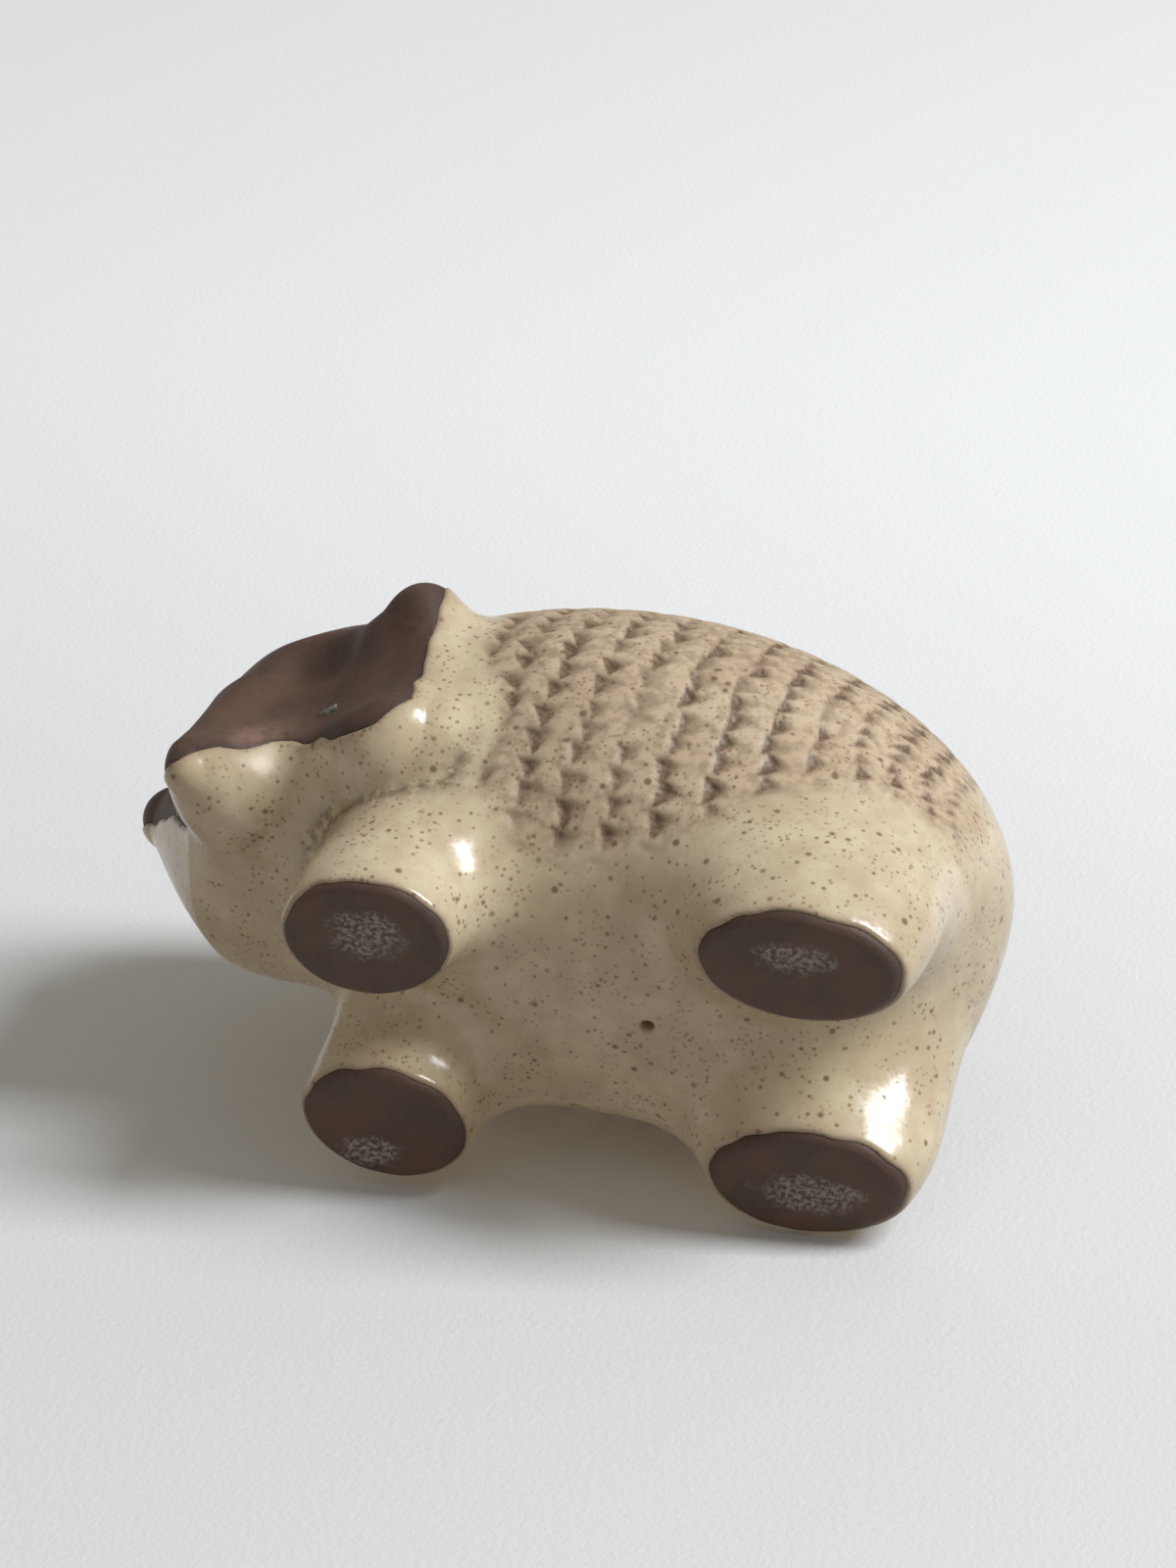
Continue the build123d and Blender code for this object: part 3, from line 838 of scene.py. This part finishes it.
def floor_material():
    """Pale matte sheet, painted lighter away from the figure as a painted falloff of light, and seen through
    from below so that the figure's right side can be looked at.
    """
    material, tree, shader, place = new_material("pale_sheet")
    # Painted falloff of light: darker near the figure, lighter far away
    far = rise(tree, node(tree, "SeparateXYZ", Vector=place).outputs["Z"], *FLOOR_FALLOFF_SPAN)
    tree.links.new(blend_colour(tree, far, FLOOR_SHADED_NEAR, FLOOR_LIT_FAR), shader.inputs["Base Color"])
    grain = node(tree, "Bump", Strength=0.5, Distance=0.2 * MM, Height=cloud(tree, place, 0.9, 2.0))
    tree.links.new(grain.outputs[0], shader.inputs["Normal"])
    shader.inputs["Roughness"].default_value = FLOOR_ROUGHNESS
    behind = node(tree, "NewGeometry").outputs["Backfacing"]
    clear = node(tree, "BsdfTransparent").outputs[0]
    both = node(tree, "MixShader", Fac=behind)
    tree.links.new(shader.outputs[0], both.inputs[1])
    tree.links.new(clear, both.inputs[2])
    tree.links.new(both.outputs[0], tree.nodes["Material Output"].inputs[0])
    return material


def make_figure():
    """All pieces of the figure. Returns the points of its glazed skin."""
    grid, origin = sample_field(figure_field, np.array(SKIN_LOW), np.array(SKIN_HIGH), VOXEL)
    points, quads = skin_of(grid, origin, VOXEL)
    points = settle(figure_field, points)
    faces = np.concatenate([quads[:, [0, 1, 2]], quads[:, [0, 2, 3]]])
    points, faces, bare = split_skin(points, faces, bare_field(points))
    normals = slope_of(figure_field, points)
    distance = edge_distance(points, normals)
    rim = np.intersect1d(faces[bare], faces[~bare])
    distance[rim] = 0
    edge = np.exp(-np.abs(distance) / GLAZE_FADE)
    depth, stain = spine_marks(points)
    weight = marks_weight(points) * smooth_step(*EDGE_FADE, distance)
    depth = even_out(depth * weight, faces, MARK_SOFTENING)
    leg = leg_field(points, FRONT_LEG, LEFT)
    # Brown stain with painted shade along the crease where the head meets the body and the front leg
    crease = np.exp(-np.abs(head_field(points) - np.minimum(body_field(points), leg)) / CREASE_WIDTH)
    crease = crease * (1 - smooth_step(*CREASE_END, leg))
    lip = np.clip(1 - distance / GLAZE_ROLL, 0, 1)
    sink = GLAZE * (1 - np.sqrt(1 - lip * lip)) + depth
    under = np.ones(len(points), bool)
    under[faces[~bare]] = False
    sink[under] = GLAZE + UNDERLAP
    glaze = points - sink[:, None] * normals
    make_piece(
        "glaze", glaze, faces, glaze_material(), "glaze", ["glaze_coat", "body_shell"],
        stain=stain * weight, spiny=weight, crease=crease, edge=edge, blush=blush_layer(points),
    )
    middle = points[faces].mean(1)
    sole_clay = clay_material("sole_clay", SOLE_BURN)
    face_clay = clay_material("face_clay", FACE_BURN)
    level = GLAZE * np.where(points[:, 2] < SOLE_TOP, np.exp(np.minimum(distance, 0) / SOLE_DROP), 1)
    clay = points - level[:, None] * normals
    layers = {"edge": edge, "scuff": scuff_layer(points), "blush": blush_layer(points)}
    here = bare & (middle[:, 2] > SOLE_TOP)
    make_lens("face", clay, normals, faces[here], face_clay, "stoneware", ["head"], **layers)
    for name, (pair, side, _) in LEGS.items():
        here = bare & (middle[:, 2] < SOLE_TOP) & (middle[:, 1] * side < 0)
        here &= np.abs(middle[:, 0] - pair[0][0]) < SOLE_REACH
        nodes = [name + "_leg"]
        make_lens(name + "_sole", clay, normals, faces[here], sole_clay, "stoneware", nodes, **layers)
    eye = eye_material()
    for name, place in EYES.items():
        make_eye(name, place, eye)
    return glaze


def make_stage(skin):
    """Floor touching the right flank, the camera, a window's light and the even world."""
    up = Vector(FLOOR_UP).normalized()
    lowest = float((skin @ np.array(up)).min()) * MM
    mesh = bpy.data.meshes.new("floor")
    across = up.cross((0, 0, 1)).normalized()
    ahead = up.cross(across)
    centre = up * (lowest - FLOOR_GAP)
    square = ((-1, -1), (1, -1), (1, 1), (-1, 1))
    corners = [centre + FLOOR_HALF * (a * across + b * ahead) for a, b in square]
    mesh.from_pydata(corners, [], [(0, 1, 2, 3)])
    if mesh.polygons[0].normal.dot(up) < 0:
        mesh.flip_normals()
    mesh.materials.append(floor_material())
    floor = bpy.data.objects.new("floor", mesh)
    bpy.context.collection.objects.link(floor)
    floor.visible_diffuse = False
    floor.visible_shadow = False
    camera = bpy.data.objects.new("camera", bpy.data.cameras.new("camera"))
    camera.data.lens = CAMERA_LENS
    right, top = Vector(CAMERA_RIGHT).normalized(), Vector(CAMERA_UP).normalized()
    turn = Matrix((right, top, right.cross(top))).transposed().to_4x4()
    camera.matrix_world = Matrix.Translation(CAMERA_PLACE) @ turn
    bpy.context.collection.objects.link(camera)
    bpy.context.scene.camera = camera
    lamp = bpy.data.lights.new("window", "AREA")
    lamp.shape = "RECTANGLE"
    lamp.energy = WINDOW_POWER
    lamp.color = WINDOW_COLOUR
    lamp.size, lamp.size_y = WINDOW_SIZE
    window = bpy.data.objects.new("window", lamp)
    aside, above, nearer = WINDOW_COURSE
    course = (aside * right + above * up + nearer * right.cross(top)).normalized()
    tall = (up - up.dot(course) * course).normalized()
    turn = Matrix((tall.cross(course), tall, course)).transposed().to_4x4()
    window.matrix_world = Matrix.Translation(Vector(BODY_CENTRE) * MM + WINDOW_REACH * course) @ turn
    bpy.context.collection.objects.link(window)
    world = bpy.data.worlds.new("studio")
    world.use_nodes = True
    bpy.context.scene.world = world
    tree = world.node_tree
    seen = node(tree, "LightPath").outputs["Is Camera Ray"]
    colour = blend_colour(tree, seen, WORLD_FILL, WORLD_SEEN)
    tree.links.new(colour, tree.nodes["Background"].inputs["Color"])
    bpy.context.scene.view_settings.view_transform = "Standard"


make_stage(make_figure())
